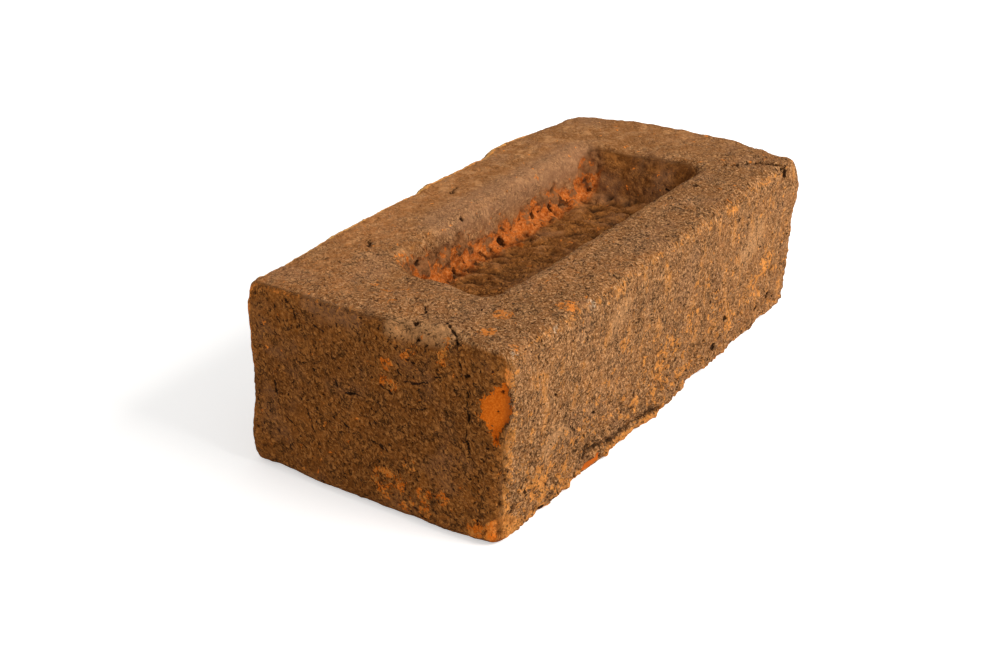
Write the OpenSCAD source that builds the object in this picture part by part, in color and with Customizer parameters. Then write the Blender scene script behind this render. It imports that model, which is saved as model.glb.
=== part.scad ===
// Handmade clay brick with a frog pressed into its top.
// The brick lies on its bed: X runs along the long faces, Y across them, Z up.
// The origin is the middle of the bed, on the surface that the brick rests on.

/* [Brick] */
// Length over the two ends, at the bed
brick_length = 215; // [190:1:290]
// Width over the two long faces, at the top
brick_width = 102.5; // [95:0.5:150]
// Height from the bed to the top
brick_height = 65; // [45:1:90]
// How far each end leans in between the bed and the top
end_taper = 4.2; // [0:0.1:6]
// How far each long face leans out between the bed and the top
side_flare = 1.5; // [0:0.1:3]
// How much further out the middle of each side stands than its corners
side_swell = 0.5; // [0:0.1:2]
// How far the walls wander in from true, as a mould filled by hand leaves them
wall_wander = 0.2; // [0:0.1:1.5]
// Radius of the edge round the bed
bed_arris = 3.5; // [1:0.5:4.5]
// Radius of the edge round the top
face_arris = 4.5; // [2:0.5:4.5]

/* [Upright corners] */
// Radius of the corner at the left of the near end, seen from above
near_left_corner = 5; // [5:0.5:20]
// Radius of the corner at the right of the near end
near_right_corner = 6; // [5:0.5:20]
// Radius of the corner at the right of the far end
far_right_corner = 6; // [5:0.5:20]
// Radius of the worn corner at the left of the far end
far_left_corner = 15; // [5:0.5:20]

/* [Worn corner] */
// How much lower the top edge starts to roll over at the worn corner
worn_drop = 5; // [0:0.5:8]
// How much further in the top edge rolls at the worn corner
worn_roll = 5; // [0:0.5:8]
// How far the wear reaches from the corner, along the two top edges
worn_reach = 34; // [10:1:40]

/* [Slumped edge] */
// How much lower the slumped stretch of the near end's top edge starts to roll over
slump_drop = 6; // [0:0.5:12]
// How much further in the slumped stretch rolls
slump_roll = 3; // [0:0.5:8]
// Where the slump is deepest, across the end
slump_place = -17; // [-20:1:20]
// Length of the slumped stretch, across the end
slump_length = 56; // [30:1:64]

/* [Frog] */
// Length of the frog at its rim, halfway across
frog_length = 140; // [110:1:160]
// Width of the frog at its rim, halfway along
frog_width = 51.5; // [46:0.5:64]
// Depth of the frog below the top
frog_depth = 17; // [12:0.5:24]
// How far the frog lies off the middle, along the brick
frog_shift = 0.5; // [-5:0.5:5]
// How far the frog lies off the middle, across the brick
frog_drift = -0.8; // [-3:0.1:3]
// How much further the frog's near end reaches along its right wall than along its left
near_splay = 8; // [0:0.5:10]
// How much further the frog's far end reaches along its right wall than along its left
far_splay = 4; // [0:0.5:10]
// How much wider the frog is at its far end than at its near end
frog_spread = 6; // [0:0.5:10]
// Radius of the frog's corners at the rim, seen from above
frog_corner = 8; // [5:0.5:14]
// Radius of the frog's corners at its floor, seen from above
frog_floor_corner = 5; // [2:0.5:7]
// Slope of the frog's long walls, in degrees from level
frog_side_slope = 84; // [60:1:88]
// Slope of the frog's end walls, in degrees from level
frog_end_slope = 60; // [45:1:85]
// Radius of the rolled shoulder at the rim
frog_shoulder = 6; // [3:0.5:7]
// Radius of the fillet round the frog's floor
frog_fillet = 3; // [1:0.5:4]
// How far the hollows in the frog's floor go down
floor_hollow = 1.2; // [0:0.1:2]
// How far the hollows torn in the frog's left wall go in, at its foot
torn_hollow = 1.6; // [0:0.1:3]
// Distance from one hollow to the next
hollow_pitch = 17; // [12:0.5:30]

/* [Hidden] */

clay = [0.56, 0.37, 0.22];

// The four corners in turn: far left, near left, near right and far right. The near end is at -X.
corner_signs = [[1, 1], [-1, 1], [-1, -1], [1, -1]];
corner_radii = [far_left_corner, near_left_corner, near_right_corner, far_right_corner];

// Steps along each arc, each straight side and up the wall
corner_steps = 6;
bed_steps = 4;
face_steps = 6;
wall_steps = 6;
long_steps = 22;
end_steps = 14;
shoulder_steps = 7;
fillet_steps = 4;
frog_long_steps = 24;
frog_end_steps = 8;

// How large the rings across the frog's floor are, as shares of its width, and the share of the
// floor's middle that has no hollows of its own
floor_shares = [0.06, 0.22, 0.42, 0.62, 0.82];
calm_share = 0.3;

// Slope at which the frog's shoulder leaves the top, and how far its cutter stands above it
rim_slope = 12;
rim_rise = 0.6;

// Waves of the wander, in degrees for each millimetre
long_wave = 2.6;
cross_wave = 3.7;
rise_wave = 3.1;

function blend(from, to, share) = from + (to - from) * share;

function ease(share) = let (s = max(0, min(1, share))) s * s * (3 - 2 * s);

// A seat stands for one point of a rounded outline: the corner that it follows, its share of the
// way from there to the next corner, and the way that it faces.
function seats(along, across, turns) = [
    for (k = [0 : 3])
        let (steps = k % 2 == 0 ? along : across)
        each concat(
            [for (i = [0 : turns]) [k, 0, 90 * (k + i / turns)]],
            [for (j = [1 : 1 : steps - 1]) [k, j / steps, 90 * (k + 1)]]
        )
];

// What a seat gets of four values, one for each corner
function at_seat(seat, values) = blend(values[seat[0]], values[(seat[0] + 1) % 4], seat[1]);

// The way that a seat faces
function facing(seat) = [cos(seat[2]), sin(seat[2])];

// Where a seat lies on a rounded rectangle
function rounded(seat, half_length, half_width, radii, inset) =
    let (
        centres = [
            for (k = [0 : 3])
                [corner_signs[k].x * (half_length - radii[k]), corner_signs[k].y * (half_width - radii[k])]
        ]
    )
    at_seat(seat, centres) + (at_seat(seat, radii) - inset) * facing(seat);

function middle(ring) = [for (axis = [0 : 2]) [for (p = ring) p[axis]] * [for (p = ring) 1] / len(ring)];

// A closed solid through rings of equal count, each end capped from its middle
module loft(rings) {
    count = len(rings[0]);
    last = len(rings) - 1;
    foot = (last + 1) * count;
    crown = foot + 1;
    walls = [
        for (l = [0 : last - 1], i = [0 : count - 1])
            let (
                a = l * count + i,
                b = l * count + (i + 1) % count
            )
            each [[a, a + count, b + count], [a, b + count, b]]
    ];
    lower_cap = [for (i = [0 : count - 1]) [foot, i, (i + 1) % count]];
    upper_cap = [for (i = [0 : count - 1]) [crown, last * count + (i + 1) % count, last * count + i]];
    points = concat([for (ring = rings) each ring], [middle(rings[0]), middle(rings[last])]);
    polyhedron(points, concat(walls, lower_cap, upper_cap));
}

// How much of the slump a seat has: all of it in the middle of the slumped stretch, none elsewhere
function slump_share(seat) =
    let (y = at_seat(seat, corner_signs).y * (brick_width / 2 - at_seat(seat, corner_radii)))
    max(0, -facing(seat).x) * ease(1 - abs(y - slump_place) / (slump_length / 2));

// How much of the worn corner's wear a seat has: all of it at the far left corner, none beyond its reach
function worn_share(seat) =
    let (
        out = at_seat(seat, corner_signs),
        along = (1 - out.x) * brick_length / 2,
        across = (1 - out.y) * brick_width / 2
    )
    ease(1 - along / worn_reach) * ease(1 - across / worn_reach);

// How far in from true the corners stand, and the walls where they wander
function slack(seat, height) =
    let (
        out = at_seat(seat, corner_signs),
        x = out.x * brick_length / 2,
        y = out.y * brick_width / 2,
        end_wander = wall_wander * (1 + sin(cross_wave * y + rise_wave * height + 90 * out.x)) / 2,
        side_wander = wall_wander * (1 + sin(long_wave * x - rise_wave * height + 90 * out.y)) / 2
    )
    [
        out.x * (side_swell * out.y * out.y + end_wander),
        out.y * (side_swell * out.x * out.x + side_wander)
    ];

// A point of the brick's outside: the seat, how far in it lies and how high
function outside(seat, inset, height) =
    let (
        rise = max(0, min(1, (height - bed_arris) / (brick_height - face_arris - bed_arris))),
        half_length = brick_length / 2 - end_taper * rise,
        half_width = brick_width / 2 - side_flare * (1 - rise),
        place = rounded(seat, half_length, half_width, corner_radii, inset) - slack(seat, height)
    )
    [place.x, place.y, height];

// Rings of the outside from the bed up: the bed's edge, the wall and the top's edge
function outside_rings(outline) =
    let (
        drops = [for (s = outline) face_arris + slump_drop * slump_share(s) + worn_drop * worn_share(s)],
        rolls = [for (s = outline) face_arris + slump_roll * slump_share(s) + worn_roll * worn_share(s)],
        every = [0 : len(outline) - 1]
    )
    concat(
        [
            for (i = [0 : bed_steps])
                let (turn = 90 * i / bed_steps)
                [for (s = outline) outside(s, bed_arris * (1 - sin(turn)), bed_arris * (1 - cos(turn)))]
        ],
        [
            for (i = [1 : wall_steps - 1])
                let (share = i / wall_steps)
                [for (n = every) outside(outline[n], 0, blend(bed_arris, brick_height - drops[n], share))]
        ],
        [
            for (i = [0 : face_steps])
                let (turn = 90 * i / face_steps)
                [
                    for (n = every)
                        let (height = brick_height - drops[n] * (1 - sin(turn)))
                        outside(outline[n], rolls[n] * (1 - cos(turn)), height)
                ]
        ]
    );

// Section of a frog wall of a given slope, as [distance in from the rim, height]: the shoulder
// rolls over from the top, runs straight down the slope and ends in the floor's fillet.
function frog_wall(slope) =
    let (
        rolled = frog_depth - frog_shoulder * cos(rim_slope) - frog_fillet,
        between = (frog_shoulder + frog_fillet + rolled * cos(slope)) / sin(slope),
        shoulder_in = -frog_shoulder * sin(rim_slope),
        shoulder_up = brick_height - frog_shoulder * cos(rim_slope),
        fillet_in = shoulder_in + between,
        fillet_up = brick_height - frog_depth + frog_fillet
    )
    concat(
        [[-rim_rise / tan(rim_slope), brick_height + rim_rise]],
        [
            for (i = [1 : shoulder_steps])
                let (turn = blend(rim_slope, slope, i / shoulder_steps))
                [shoulder_in + frog_shoulder * sin(turn), shoulder_up + frog_shoulder * cos(turn)]
        ],
        [
            for (i = [0 : fillet_steps])
                let (turn = blend(slope, 0, i / fillet_steps))
                [fillet_in - frog_fillet * sin(turn), fillet_up - frog_fillet * cos(turn)]
        ]
    );

// A ring of the frog seen from above, splayed at its ends and wider towards its far end
function frog_ring(outline, half_length, half_width, radius) = [
    for (s = outline)
        let (
            out = at_seat(s, corner_signs),
            place = rounded(s, half_length, half_width, [radius, radius, radius, radius], 0),
            splay = out.x * blend(near_splay, far_splay, (1 + out.x) / 2),
            spread = out.y * frog_spread / 2,
            splayed = frog_shift + place.x - splay * place.y / frog_width
        )
        [splayed, frog_drift + place.y + spread * place.x / frog_length]
];

// How much of a hollow a place in the frog has: all of it in the middle of a hollow, none between
// two. Two waves cross, so that the hollows don't line up.
function hollow_share(place) =
    let (turn = 360 / hollow_pitch)
    (2 + sin(turn * (place.x + place.y / 2)) + sin(turn * (0.6 * place.x - 0.9 * place.y))) / 4;

// Rings across the frog's floor, from its middle out; the hollows go down from the floor's level
function floor_rings(outline, half_length, half_width) = [
    for (share = floor_shares)
        let (
            inset = half_width * (1 - share),
            ring = frog_ring(outline, half_length - inset, half_width - inset, frog_floor_corner * share),
            level = brick_height - frog_depth,
            own = ease(share / calm_share)
        )
        [for (p = ring) [p.x, p.y, level - floor_hollow * blend(0.5, hollow_share(p), own)]]
];

// Rings of the frog's walls from its floor up; its corners tighten as they go down
function wall_rings(outline, side, end, last) = [
    for (l = [last : -1 : 0])
        let (
            radius = blend(frog_corner, frog_floor_corner, l / last),
            ring = frog_ring(outline, frog_length / 2 - end[l][0], frog_width / 2 - side[l][0], radius)
        )
        [
            for (i = [0 : len(outline) - 1])
                let (
                    out = facing(outline[i]),
                    torn = torn_hollow * hollow_share(ring[i]) * max(0, out.y) * l / last
                )
                [ring[i].x, ring[i].y + torn, blend(side[l][1], end[l][1], pow(out.x, 2))]
        ]
];

// Rings of the whole frog, from the middle of its floor to above its rim
function frog_rings(outline) =
    let (
        side = frog_wall(frog_side_slope),
        end = frog_wall(frog_end_slope),
        last = len(side) - 1
    )
    concat(
        floor_rings(outline, frog_length / 2 - end[last][0], frog_width / 2 - side[last][0]),
        wall_rings(outline, side, end, last)
    );

// The frog's shape, as the block on the mould's floor that presses it
module frog() {
    loft(frog_rings(seats(frog_long_steps, frog_end_steps, corner_steps)));
}

// The block of clay before the frog is pressed
module block() {
    loft(outside_rings(seats(long_steps, end_steps, corner_steps)));
}

// One solid of fired clay
module brick() {
    color(clay)
        difference() {
            block();
            frog();
        }
}

brick();
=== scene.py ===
"""The looks of a handmade brick: the relief and the colours of its fired clay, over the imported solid.

Sizes and places are in millimetres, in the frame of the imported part: X along the brick, Y across
it, Z up. The near end faces -X and the right long face -Y, as the camera sees them.
"""

import math
from collections import namedtuple
from types import SimpleNamespace

import bpy
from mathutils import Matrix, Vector


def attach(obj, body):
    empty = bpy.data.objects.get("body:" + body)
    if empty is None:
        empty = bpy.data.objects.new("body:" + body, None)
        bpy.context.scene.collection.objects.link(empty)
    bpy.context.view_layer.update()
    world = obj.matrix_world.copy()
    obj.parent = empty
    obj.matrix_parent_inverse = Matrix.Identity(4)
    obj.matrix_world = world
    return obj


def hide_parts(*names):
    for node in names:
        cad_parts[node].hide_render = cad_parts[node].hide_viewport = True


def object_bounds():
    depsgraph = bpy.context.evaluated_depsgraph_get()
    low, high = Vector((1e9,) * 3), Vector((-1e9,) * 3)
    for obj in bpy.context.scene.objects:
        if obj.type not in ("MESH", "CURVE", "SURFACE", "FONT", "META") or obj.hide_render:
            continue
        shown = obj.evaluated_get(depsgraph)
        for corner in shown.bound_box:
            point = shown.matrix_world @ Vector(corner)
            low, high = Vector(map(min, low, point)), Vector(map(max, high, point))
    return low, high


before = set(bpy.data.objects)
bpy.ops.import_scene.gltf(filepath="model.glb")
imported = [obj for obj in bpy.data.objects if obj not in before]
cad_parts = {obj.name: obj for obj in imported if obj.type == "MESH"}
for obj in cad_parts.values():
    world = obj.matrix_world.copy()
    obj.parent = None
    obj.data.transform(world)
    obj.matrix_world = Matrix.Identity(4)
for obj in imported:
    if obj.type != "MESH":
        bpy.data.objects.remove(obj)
cad_low, cad_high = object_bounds()

MM = 0.001

# The skin is cut into squares of this size before it is worked, and thinned to a share of its faces
SKIN_SQUARE = 0.82
SKIN_SHARE = 0.70

# Heights of the brick that its features are set out from
TOP = cad_high.z / MM
FROG_FLOOR = 48.0

# Where the worked surface stands out from the smooth solid, or back from it: place, reach and rise
SWELLS = (
    # Near left upright
    ((-105, 48, 10), 13, 1.4),
    ((-105, 48, 29), 12, -0.1),
    ((-104, 48, 42), 10, 0.7),
    ((-104, 48, 54), 13, 1.4),
    # Left top edge
    ((-88, 50, 64), 30, -1.1),
    ((-45, 50, 64), 26, -0.1),
    ((-14, 49, 64), 6, -0.5),
    ((-5, 49, 64), 7, 0.8),
    ((31, 49, 64), 8, -1),
    ((44, 50, 64), 24, 1.4),
    # Far left corner
    ((98, 40, 62), 16, -0.4),
    # Far top edge
    ((103, 18, 64), 14, 0.2),
    ((103, -16, 64), 16, 0.2),
    ((102, -34, 64), 12, -1.3),
    # Far right corner
    ((98, -45, 65), 12, -2.6),
    # Far right upright
    ((105, -49, 51), 17, 3.2),
    ((106, -49, 32), 13, 1),
    ((106, -49, 6), 13, -1.1),
    # Bed edge
    ((84, -49, 2), 14, -0.9),
    ((56, -49, 2), 16, -0.5),
    ((20, -49, 2), 14, -0.9),
    ((-8, -50, 2), 15, 1.8),
    ((-46, -50, 3), 10, 0.2),
    ((-58, -50, 2), 9, -0.8),
    ((-85, -49, 2), 13, -0.4),
    # Near corner of the bed
    ((-104, -47, 2), 13, -0.4),
    # Bed edge of the end
    ((-106, -28, 2), 14, 0.4),
    ((-106, 14, 2), 14, 0.1),
    ((-106, 38, 2), 14, -0.6),
    # Round the lip
    ((-101, -24, 63), 14, 0.8),
    ((-102.5, -7, 62.5), 7, 1.1),
    ((-104, 6, 61), 9, -0.8),
    # Shoulder of the frog
    ((-71, 12, 65), 23, -3),
    ((-68, -14, 65), 18, -1.5),
    ((68, 6, 64), 14, -1.8),
    ((67, -12, 64), 10, -0.8),
)

# The frog's right shoulder is worn down along its length: its ends, the reach and the depth
WORN_SHOULDER = ((-54, -22.6, 63.6), (62, -25.2, 63.6), 6, 1.3)

# Stains where the orange body of the clay shows through its brown skin: place, reach and strength
ORANGE_STAINS = (
    # Round the lip
    ((-103.9, -6.6, 50.8), 4.5, 0.57),
    ((-104.3, -4.5, 44.8), 4, 0.52),
    ((-104.4, -8.6, 43.9), 4.5, 0.53),
    ((-103.6, -13.1, 54.6), 3, 0.56),
    ((-103, -15.6, 57.9), 4, 0.52),
    ((-103.1, -27, 58.3), 4.5, 0.56),
    ((-101.3, -27.6, 62.6), 4, 0.52),
    # Over the flake
    ((-103, -43.9, 57.6), 3.5, 0.49),
    # Foot of the end
    ((-106.9, -6, 11.5), 7.5, 0.55),
    ((-107.3, -6.6, 6.3), 5.5, 0.55),
    ((-106.9, -12.6, 12.1), 5.5, 0.55),
    ((-107.2, -15, 6), 6, 0.54),
    ((-106.8, -21.5, 11), 5, 0.56),
    ((-107.1, -22.1, 5.7), 5, 0.57),
    ((-106.6, -28.4, 11.6), 4.5, 0.58),
    ((-106.8, -40.5, 4.9), 5.5, 0.62),
    ((-106.6, -15.5, 19), 5, 0.49),
    # Near corner of the bed
    ((-104.7, -47.7, 4.8), 7.5, 0.70),
    # Frog
    ((-60, 19, 61), 8, 0.54),
    ((69, 0, 56), 9, 0.46),
    # Top
    ((-81.4, 14.5, 65), 3, 0.56),
    ((-83.5, 8, 65), 4, 0.54),
    ((-79.1, 4.6, 65), 3, 0.56),
    ((-91, 0.5, 65), 3, 0.52),
    ((-79.9, -33, 65), 6, 0.58),
    ((-92.6, -35.6, 65), 5, 0.58),
    ((-96, -47, 64.4), 3.5, 0.56),
    ((-64, -46, 65), 6, 0.56),
    ((78.2, -30.1, 65), 3, 0.54),
    ((86.5, -42.8, 65), 3, 0.54),
)

# Worn lumps on the long face that show the golden body of the clay: place, reach and strength
GOLDEN_WEAR = (
    ((43, -50.5, 61), 8, 0.20),
    ((23, -51, 60), 6, 0.13),
    ((67, -51, 59), 6, 0.12),
    ((22, -50.6, 40), 10, 0.14),
    ((17, -50.4, 28), 9, 0.13),
    ((12, -50, 12), 10, 0.17),
    ((-8, -50, 15), 12, 0.17),
    ((-3, -50, 24), 12, 0.13),
    ((-17.5, -50.2, 29), 9, 0.13),
    ((-34, -50.4, 39), 8, 0.12),
    ((-25, -49.8, 12), 7, 0.12),
    ((48.7, -49.8, 15), 8, 0.14),
    ((71, -49.8, 21), 7, 0.13),
    ((79, -49.9, 27), 9, 0.14),
    ((-84, -49.6, 12), 13, 0.15),
    ((-90, -50.3, 40), 10, 0.04),
    ((-70, -49.5, 9), 9, 0.13),
)

# Arrises where the skin is worn through to the golden body, and the left upright and left top edge,
# where the golden band is also painted highlight for the rim of light: ends, reach and strength
WORN_AND_RIM_HIGHLIT_ARRISES = (
    # End and top
    ((-102.2, 47, 63.2), (-102.2, 30, 63.6), 2.2, 0.54),
    ((-101.8, 29, 63.4), (-101.4, 5, 64), 2.2, 0.47),
    # Near upright
    ((-101.2, -48.9, 59.5), (-100.8, -49.4, 55), 2.8, 0.64),
    ((-99.4, -50, 54), (-99.4, -50, 40), 2, 0.53),
    ((-100.6, -49.7, 39), (-101.6, -49.3, 28), 3.4, 0.60),
    ((-101.7, -49.3, 28), (-102.6, -49, 8), 3.4, 0.60),
    # Near corner of the bed
    ((-102.6, -48.5, 7), (-96, -49, 2), 7.5, 0.72),
    # Bed and long face
    ((-100, -48.5, 2.5), (-58, -49, 1.5), 5, 0.62),
    ((-42, -49.5, 2.5), (-3, -49.5, 1), 4.4, 0.70),
    ((-3, -49.5, 1), (60, -49.5, 1), 3.2, 0.56),
    # Top and long face
    ((-98, -49.8, 63), (-52, -50.4, 63), 3, 0.50),
    ((-52, -50.4, 63), (80, -50.4, 62), 3, 0.48),
    # Right rim of the frog
    ((-58, -23.4, 63.8), (-6, -24.4, 63.8), 1.8, 0.58),
    ((-6, -24.4, 63.8), (62, -26, 63.8), 2.2, 0.62),
    # Left upright
    ((-101.2, 48.5, 62), (-103.2, 48.5, 3), 4.2, 0.60),
    # Left top edge
    ((-98, 48.8, 64.6), (92, 47.6, 64.2), 2.6, 0.67),
)

# Lengths where the skin is greyer or paler than elsewhere: ends, reach and strength
GREY_SKIN = (
    # Under the top of the end
    ((-102.4, 24, 62.8), (-102.9, 7, 61), 4.5, 0.40),
    # Left shoulder of the frog
    ((-30, 25, 64), (60, 23, 62), 11, 0.45),
)
PALE_SKIN = (
    # Lip
    ((-100.9, -8, 62.6), (-99, -27, 63.4), 5, 0.60),
    # Long face
    ((-79, -50, 23), (-74, -50, 25), 7, 0.50),
    ((60, -50.5, 39), (68, -50.5, 43), 9, 0.55),
    ((-42, -50.9, 51), (-36, -50.9, 54), 6, 0.45),
)

# Spots of pale sand from the mould: place, reach and strength
SAND_SPOTS = (
    # Top arris
    ((-98, -49.1, 63.7), 2, 1),
    ((-76.5, -50.2, 62.8), 2.3, 1),
    ((-56.5, -50.2, 63.1), 2.6, 1),
)

# A crack or groove in the clay: the axis that it runs along, the axis across it, its points as places
# along and across, the wall that it is in, its half width, its depth and how dark the painted shade
# in it is
Crack = namedtuple("Crack", "along across points wall half_width depth darkness")
CRACKS = {
    "down the end": Crack(
        "z", "y",
        (
            (27, -40.6), (30, -37.4), (35, -35.9), (41, -36.1),
            (47, -35.8), (51, -35.2), (55, -33.7), (59, -32.6),
        ),
        "end", 0.24, 0.8, 1.0,
    ),
    "right of the lip": Crack(
        "y", "x",
        ((-31, -101.6), (-29.5, -99.6), (-26.2, -97.2), (-22.5, -94.6)),
        "top", 0.45, 1.0, 1.0,
    ),
    "up from the lip": Crack("x", "y", ((-93, -13.4), (-91, -12.2), (-88, -9.6)), "top", 0.35, 0.8, 1.0),
    "pleat": Crack(
        "y", "x",
        (
            (-50.7, 89), (-48.8, 85.4), (-45.5, 82.8), (-42.5, 82.2),
            (-39.1, 80.1), (-37.7, 77), (-35, 75.5), (-32.5, 73.9),
        ),
        "top", 1.3, 2.2, 1.0,
    ),
    "left shoulder of the frog": Crack(
        "x", "y", ((-8, 36.6), (-4.8, 37.5), (-1, 38.2)), "top", 0.5, 0.7, 0.8,
    ),
    "left rim, near": Crack("x", "y", ((-62, 31), (-60, 33.6), (-57, 35)), "top", 0.5, 0.8, 0.9),
    "above the foot lip": Crack(
        "x", "z",
        ((-56, 10.6), (-43, 7.1), (-36, 5.7), (-30, 6.0), (-21, 5.6), (-12, 4.4), (-5, 2.7)),
        "side", 1.1, 1.2, 0.55,
    ),
}

# The ways that the brick's walls face, as the index of the axis and its sign. The frog's left wall
# faces as the side does, and its far wall as the end does
WALLS = {"end": (0, -1), "far end": (0, 1), "side": (1, -1), "left": (1, 1), "top": (2, 1), "bed": (2, -1)}

# Small holes, painted dark inside as shade: place, radius and depth
HOLES = (
    # Round the lip
    ((-98.4, -14.2, 64.2), 1, 1.2),
    ((-101.5, -17, 60.9), 0.9, 1.2),
    ((-102.1, -20.4, 60), 0.8, 1),
    ((-102.2, 4.6, 62.7), 0.7, 0.8),
    ((-96.6, 5.2, 64.9), 0.7, 0.6),
    # Beside the long crack
    ((-103.4, -36, 54.9), 0.8, 1),
    # Flake
    ((-102.5, -47.6, 52.1), 0.7, 0.3),
    ((-103.5, -46.3, 45.1), 0.65, 0.3),
    # Right side of the top
    ((89.6, -50.6, 60.2), 2.7, 1.8),
    ((48.2, -32.9, 65), 1.6, 1.2),
    ((36.7, -31.1, 65), 1.1, 0.8),
    ((80.1, -39.1, 65), 1.3, 1.2),
    # Left side of the top
    ((-60.5, 33.2, 65), 1, 1),
    # Left wall of the frog
    ((-51, 19.4, 58), 1.4, 1.4),
    ((-21.8, 21.9, 63.5), 1.3, 1),
    ((-32.6, 17.5, 48.8), 1.4, 1.4),
    ((-0.9, 18.8, 49), 1.8, 1.6),
    ((20.9, 19.6, 50.7), 1.7, 1.6),
    ((34, 19.9, 49.2), 1.6, 1.6),
    # Long face
    ((-76.3, -50.4, 40.8), 1.1, 1),
    ((-82.8, -50.7, 55), 0.8, 0.8),
    ((-53, -49.9, 23.5), 1, 0.9),
    ((-92.5, -49.5, 14), 1.3, 0.9),
    ((-80.1, -49.5, 9.9), 1.1, 0.8),
    # End
    ((-107, 13.6, 18), 0.8, 0.8),
    ((-107, 41.3, 15.1), 0.8, 0.8),
    # Long face
    ((36.3, -49.7, 8.6), 1.8, 1.2),
    ((86.2, -49.3, 9.3), 2.4, 1.4),
    ((73.3, -49.4, 9.2), 1.6, 1.2),
    ((44.4, -49.9, 16.6), 1.6, 1.2),
    ((75.8, -50.4, 44), 0.9, 1),
    ((-82, -49.8, 1), 2.4, 1.3),
    ((-62, -49.8, 0.8), 2.8, 1.5),
)

# Dark strokes on the near end, where the clay dragged in the mould; their dark is painted shade in
# the fine grooves: ends in Y and Z, and half width
STROKES = (
    ((21.9, 55.8), (18.4, 54.7), 0.3),
    ((-4.2, 43.0), (-7.8, 42.0), 0.38),
    ((-7.8, 42.0), (-9.6, 40.2), 0.25),
    ((-13.6, 46.8), (-18.8, 47.7), 0.28),
    ((-18.8, 47.7), (-22.2, 49.0), 0.22),
    ((-15.6, 38.2), (-21.9, 40.2), 0.25),
    ((-10.6, 49.8), (-12.1, 48.0), 0.32),
    ((-14.0, 54.4), (-17.2, 54.0), 0.32),
    ((-35.1, 54.6), (-36.7, 55.1), 0.4),
    ((-37.9, 54.0), (-38.7, 52.6), 0.32),
    ((-24.0, 51.5), (-27.2, 52.2), 0.3),
    ((-4.5, 22.8), (-7.6, 22.0), 0.32),
    ((24.8, 26.3), (21.7, 18.9), 0.28),
    ((34.8, 21.4), (29.6, 18.6), 0.25),
    ((10.6, 26.6), (8.3, 25.2), 0.32),
    ((9.3, 36.5), (5.0, 37.2), 0.34),
    ((5.0, 37.2), (1.6, 37.0), 0.36),
    ((38.3, 32.3), (37.3, 27.1), 0.34),
    ((33.0, 12.1), (31.6, 9.2), 0.38),
    ((-1.2, 23.2), (-6.0, 21.5), 0.3),
    ((13.8, 39.9), (11.9, 38.4), 0.34),
)

# The ragged upper edge of the torn clay on the frog's left wall, as places along X and up Z
TORN_EDGE = (
    (-60, 62), (-48, 59.5), (-40, 60), (-28, 59), (-18, 55.0), (-8, 53.5), (3, 54.5),
    (13, 53.5), (22, 55.5), (35, 57.5), (45, 53), (54, 56), (64, 60),
)

# The left and right edges of the flake lost from the near end, as places up Z and round the corner
FLAKE_LEFT = (
    (34.6, 46.8), (36.4, 45.1), (39, 44), (41.5, 42.6), (43, 40.9),
    (45, 40.6), (48.8, 41.5), (51, 43.9), (53.6, 46.4), (55.6, 49.2),
)
FLAKE_RIGHT = (
    (34.6, 46.9), (38, 47.5), (40.4, 48.8), (42.4, 50.4),
    (46.9, 51.4), (50, 51.1), (52.6, 50.6), (55.6, 49.3),
)
FLAKE_FOOT = 34.8
FLAKE_HEAD = 55.5

# The plane that the flake broke off along: a place on it and the way that it faces
FLAKE_PLACE = (-103.8, -42.0, 45.0)
FLAKE_WAY = (-0.915, -0.404, 0.0)

# The small facet where the bed edge of the long face is broken: its ends
FACET_ENDS = ((-54.0, -49.6, 2.2), (-48.5, -49.6, 3.4))

# The frog: its middle, and the distances from it over which its inside ends
FROG_MIDDLE = (0.5, -0.8)
FROG_HALF_LENGTH = (68.0, 74.0)
FROG_HALF_WIDTH = (25.0, 29.0)

# The way that the clay's grain is drawn
DRAWN_WAY = tuple(Vector((0.15, 0.75, 0.64)).normalized())

# The ways across and along the ripples on the frog's floor; the ripples are twice as long as wide
ACROSS_RIPPLES = (0.837, 0.547, 0.0)
ALONG_RIPPLES = (0.547 * 0.5, -0.837 * 0.5, 0.0)

# Sizes of the clay's relief, from the middle of one lump, pit or ripple to the next
WAVE_SIZE = 30.0
LUMP_SIZE = 7.0
CRUMB_SIZE = 2.9
CREASE_SIZE = 5.5
PIT_SIZE = 8.0
CLOD_SIZE = 3.8
TEAR_SIZE = 4.6
TORN_CRUMB_SIZE = 3.6
RIPPLE_SIZE = 3.8
BEAD_SIZE = 1.9

# Heights of the relief that the tree adds, and the depths that it takes away
RELIEF = {
    "Wave height": 1.2,
    "Lump height": 2.4,
    "Crumb height": 0.7,
    "Crease depth": 0.6,
    "Pit depth": 1.1,
    "Clod height": 1.8,
    "Tear height": 6.5,
    "Ripple height": 6.0,
    "Facet depth": 0.7,
}

# Sizes of what is painted on the clay, in the same way
MOTTLE_SIZE = 0.8
GAP_SIZE = 1.0
STRAND_SIZE = 1.5
NICK_SIZE = 1.7
SOFT_SIZE = 1.9
STAIN_SIZE = 1.9
SEAM_SIZE = 2.2
CREVICE_SIZE = 2.4
BLOB_SIZE = 2.6
FLECK_SIZE = 2.7
POCKET_SIZE = 3.4
MIDDLING_SIZE = 4.5
TORN_PATCH_SIZE = 4.6
STREAK_SIZE = 5.0
KEENNESS_SIZE = 6.5
GREYNESS_SIZE = 16.0
BROAD_SIZE = 26.0

# The camera: its azimuth and elevation, the place that it looks at, its distance and its lens
CAMERA_WAY = (-56.779, 26.633)
CAMERA_TARGET = (-12.861, 12.025, 17.761)
CAMERA_DISTANCE = 554.646
CAMERA_SENSOR = 36.0
CAMERA_LENS = 55.127

# The floor: half its width in metres, how far it lies under the bed, and its brightness
FLOOR_HALF = 3.0
FLOOR_DROP = 0.05
FLOOR_GREY = 0.9
FLOOR_GLOW = 0.5


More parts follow.
